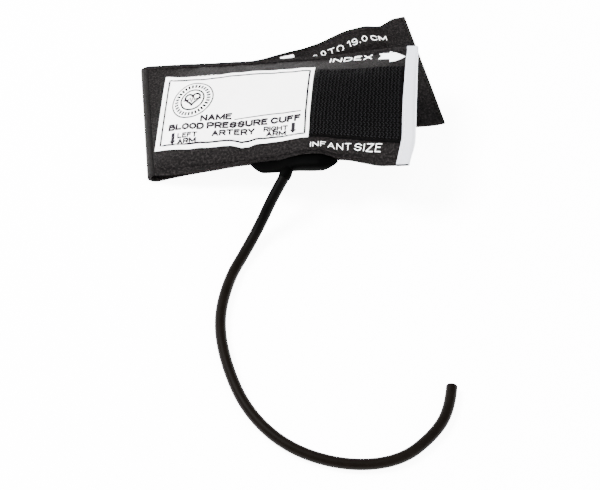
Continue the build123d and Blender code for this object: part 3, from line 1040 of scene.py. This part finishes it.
def printed(name, shapes, place, face, material, body):
    """Thin closed print on the face at that height: shapes are flat (points, faces), in mm."""
    points, faces = [], []
    for shape_points, shape_faces in shapes:
        first = len(points)
        cut_points, cut_faces = cut_small(shape_points, shape_faces)
        points += cut_points
        faces += [tuple(first + k for k in face) for face in cut_faces]
    count = len(points)
    height = face - PRINT_SINK
    verts = [place(u, v, height + PRINT_THICK) for u, v in points]
    verts += [place(u, v, height) for u, v in points]
    solid = list(faces) + [tuple(count + k for k in reversed(face)) for face in faces]
    sides = {(a, b) for face in faces for a, b in zip(face, face[1:] + face[:1])}
    solid += [(b, a, count + a, count + b) for a, b in sides if (b, a) not in sides]
    obj = piece(name, verts, solid, material, points + points)
    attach(obj, body)
    return obj


# Each capital's strokes: dots are column and row, on a grid 6 or 8 wide and 9 high.
LETTER_GAP = 2.6
STROKES = {
    "A": "00 39 60/13 53", "B": "00 09 49 58 56 45 05/45 64 61 50 00",
    "C": "67 58 39 18 06 03 11 30 51 62", "D": "00 09 39 58 66 63 51 30 00",
    "E": "59 09 00 50/05 45", "F": "59 09 00/05 45", "G": "67 58 39 18 06 03 11 30 51 62 64 34",
    "H": "00 09/60 69/05 65", "I": "00 09", "L": "09 00 50", "M": "00 09 41 89 80",
    "N": "00 09 60 69", "O": "30 11 03 06 18 39 58 66 63 51 30", "P": "00 09 49 68 65 44 04",
    "R": "00 09 49 68 65 44 04/34 60", "S": "67 58 39 18 06 15 54 63 51 30 11 02",
    "T": "09 69/39 30", "U": "09 02 11 30 51 62 69", "X": "00 69/09 60", "Y": "09 34 69/34 30",
    "Z": "09 69 00 60", "0": "20 11 03 06 18 29 38 46 43 31 20", "1": "07 29 20",
    "3": "07 18 29 48 57 56 35 25/35 54 52 41 20 01", "9": "01 10 30 42 47 39 19 07 05 14 34 45",
    ".": "00 01", " ": "",
}


def base_line(line, share):
    """Point at a share of the way along a base line, counted along the leaf."""
    u = line[0][0] + (line[-1][0] - line[0][0]) * share
    for (start, low), (end, high) in zip(line, line[1:]):
        if u <= end + 1e-6:
            break
    return u, low + (high - low) * (u - start) / (end - start)


def letters(words, line, height, width, last=None):
    """Plain drawn capitals along a base line, as high as given, or changing to the last height."""
    runs, at = [], 0.0
    for letter in words:
        drawn = [run.split() for run in STROKES[letter].split("/")]
        runs += [[(at + int(dot[0]), int(dot[1]) / 9) for dot in run] for run in drawn]
        at += max([int(dot[0]) for run in drawn for dot in run] + [0]) + LETTER_GAP
    reach = at - LETTER_GAP
    points, faces = [], []
    for run in runs:
        placed = []
        for x, y in run:
            u, v = base_line(line, x / reach)
            placed.append(Vector((u, v + y * (height + ((last or height) - height) * x / reach))))
        for a, b in zip(placed, placed[1:]):
            over = (b - a).normalized() * width * 0.36
            band, quads = bar(a - over, b + over, width)
            faces += [tuple(len(points) + k for k in quad) for quad in quads]
            points += band
    return points, faces


def bar(start, end, width):
    """Straight bar along a line."""
    start, end = Vector(start), Vector(end)
    way = (end - start).normalized()
    side = Vector((-way.y, way.x)) * width / 2
    return [tuple(start + side), tuple(start - side), tuple(end - side), tuple(end + side)], [(0, 1, 2, 3)]


def stroke(line, width):
    """Band of even width along a line of points; a closed line repeats its first point."""
    points, faces = [], []
    closed = Vector(line[0]) == Vector(line[-1])
    line = [Vector(point) for point in (line[:-1] if closed else line)]
    count = len(line)
    for i, point in enumerate(line):
        before = line[i - 1] if i or closed else point
        after = line[(i + 1) % count] if i < count - 1 or closed else point
        way = (after - before).normalized()
        side = Vector((-way.y, way.x)) * width / 2
        points += [tuple(point + side), tuple(point - side)]
    for i in range(count if closed else count - 1):
        j = (i + 1) % count
        faces.append((2 * i, 2 * i + 1, 2 * j + 1, 2 * j))
    return points, faces


def full_turn(steps=48):
    """Angles once round, the first one repeated at the end."""
    return [2 * math.pi * (k % steps) / steps for k in range(steps + 1)]


def ring(centre, radius, width):
    """Circle drawn as a line."""
    line = [(centre[0] + radius * math.cos(turn), centre[1] + radius * math.sin(turn))
            for turn in full_turn()]
    return stroke(line, width)


def ray(centre, inner, outer, turn, width):
    """Tick pointing away from a centre, turn in degrees."""
    way = Vector((math.cos(math.radians(turn)), math.sin(math.radians(turn))))
    return bar(Vector(centre) + way * inner, Vector(centre) + way * outer, width)


def heart(centre, size, width):
    """Plain heart drawn as a line, as wide as size."""
    line = []
    for turn in full_turn():
        x = 16 * math.sin(turn) ** 3
        y = 13 * math.cos(turn) - 5 * math.cos(2 * turn) - 2 * math.cos(3 * turn) - math.cos(4 * turn)
        line.append((centre[0] + x * size / 32, centre[1] + (y + 2) * size / 32))
    return stroke(line, width)


def down_arrow(u, top, foot):
    """Arrow with a straight shaft, pointing down to foot."""
    shaft, head, neck = 0.85, 1.6, foot + 2
    points = [(u - shaft, top), (u - shaft, neck), (u + shaft, neck), (u + shaft, top),
              (u - head, neck), (u, foot), (u + head, neck)]
    return points, [(0, 1, 2, 3), (4, 5, 6)]


def index_arrow(tip):
    """Broad arrow with a notched tail, pointing at the index line."""
    outline = [(-13.2, 4.3), (-11.8, 2.0), (-13.1, -0.8), (-7.6, -1.3), (-8.2, 3.8), (-7.8, 4.8),
               (-7.4, -3.7), (-4.8, -3.3), (-2.1, -1.9), (0, 0), (-2.4, 1.8), (-4.9, 3.8)]
    points = [(tip[0] + u, tip[1] + v) for u, v in outline]
    return points, [(1, 4, 0), (2, 3, 1), (1, 3, 4), (4, 3, 6, 7, 8, 9, 10, 11, 5)]


def label_frame(inset, width):
    """Line that follows the label's own outline."""
    rows = label_grid()
    foot = [(u, v + inset) for u, v in (row[0] for row in rows)]
    top = [(u, v - inset) for u, v in (row[-1] for row in rows)]
    first = next(i for i, row in enumerate(rows) if row[0][0] > LABEL_U[0] + inset)
    last = len(rows) - first
    line = foot[first:last:3] + [foot[last]] + [top[last]] + top[last:first:-3] + [top[first]]
    return stroke(line + [line[0]], width)


EMBLEM = (21.2, 5.2)
PULSE = ((-4.6, 0), (-1.9, 0), (-1.2, 1.1), (-0.4, -1.7), (0.6, 2.0), (1.3, -0.6), (1.8, 0), (4.6, 0))


def label_mark(name, shapes):
    """Black print on the label."""
    return printed(name, shapes, label_place, LABEL_TOP, black_ink, "front_leaf")


label_mark("label_frame_lines", [label_frame(2.5, 0.85)])
label_mark("label_emblem", [
    ring(EMBLEM, 10.4, 0.62),
    ring(EMBLEM, 5.9, 0.8),
    heart(EMBLEM, 7.6, 1.0),
    stroke([(EMBLEM[0] + x, EMBLEM[1] + y) for x, y in PULSE], 0.7),
] + [ray(EMBLEM, 7.4, 9.2, turn, 0.95) for turn in range(0, 360, 12)])
label_mark("label_words_name", [letters("NAME", [(27.2, -8.4), (41.8, -8.2)], 2.8, 0.95),
                                bar((43.6, -8.9), (75.6, -5.9), 0.5)])
PRODUCT_LINE = [(10.8, -10.1), (27, -12.5), (43, -13.2), (59, -12.6), (75.3, -10.9)]
label_mark("label_words_product", [letters("BLOOD PRESSURE CUFF", PRODUCT_LINE, 2.65, 1.0)])
label_mark("label_words_artery", [letters("ARTERY", [(33.5, -16.9), (53.6, -17.1)], 2.3, 0.86)])
label_mark("label_words_left_arm", [letters("LEFT", [(16.0, -15.7), (25.6, -16.6)], 2.1, 0.68),
                                    letters("ARM", [(16.2, -18.9), (25.2, -19.6)], 2.1, 0.74)])
label_mark("label_words_right_arm", [letters("RIGHT", [(58.6, -16.4), (69.6, -15.9)], 2.0, 0.66),
                                     letters("ARM", [(60.0, -19.0), (68.8, -18.8)], 2.0, 0.72)])
label_mark("label_arrows", [down_arrow(13.3, -12.4, -18.8), down_arrow(72.4, -12.4, -18.1)])


def white_mark(name, shapes, place, face, body):
    """White print on the cloth."""
    return printed(name, shapes, place, face, white_ink, body)


white_mark("front_words_size", [letters("INFANT", [(81.6, -28.0), (99.5, -28.0)], 2.9, 0.3, 3.5),
                                letters("SIZE", [(101.3, -28.1), (113.0, -28.0)], 3.7, 0.36)],
           pad_place, CLOTH, "front_leaf")
white_mark("front_words_index", [letters("INDEX", [(85.8, 27.3), (105.6, 27.4)], 3.5, 0.56),
                                 index_arrow((122.1, 27.1))], pad_place, CLOTH, "front_leaf")
white_mark("back_words_range", [
    letters("13.0", [(82.6, 18.2), (86.5, 19.4), (89.2, 20.9), (91.7, 20.8)], 3.6, 0.42),
    letters("TO", [(93.4, 20.0), (97.2, 20.1), (100.9, 20.5)], 4.0, 0.42),
    letters("19.0", [(103.5, 21.8), (108.2, 22.9), (113.6, 24.0)], 3.5, 0.42),
    letters("CM", [(115.8, 23.7), (118.3, 23.3), (122.7, 22.4)], 3.3, 0.42, 2.5),
    bar((69.3, 26.0), (76.2, 26.0), 2.8),
], back_place, BACK_TOP, "back_leaf")
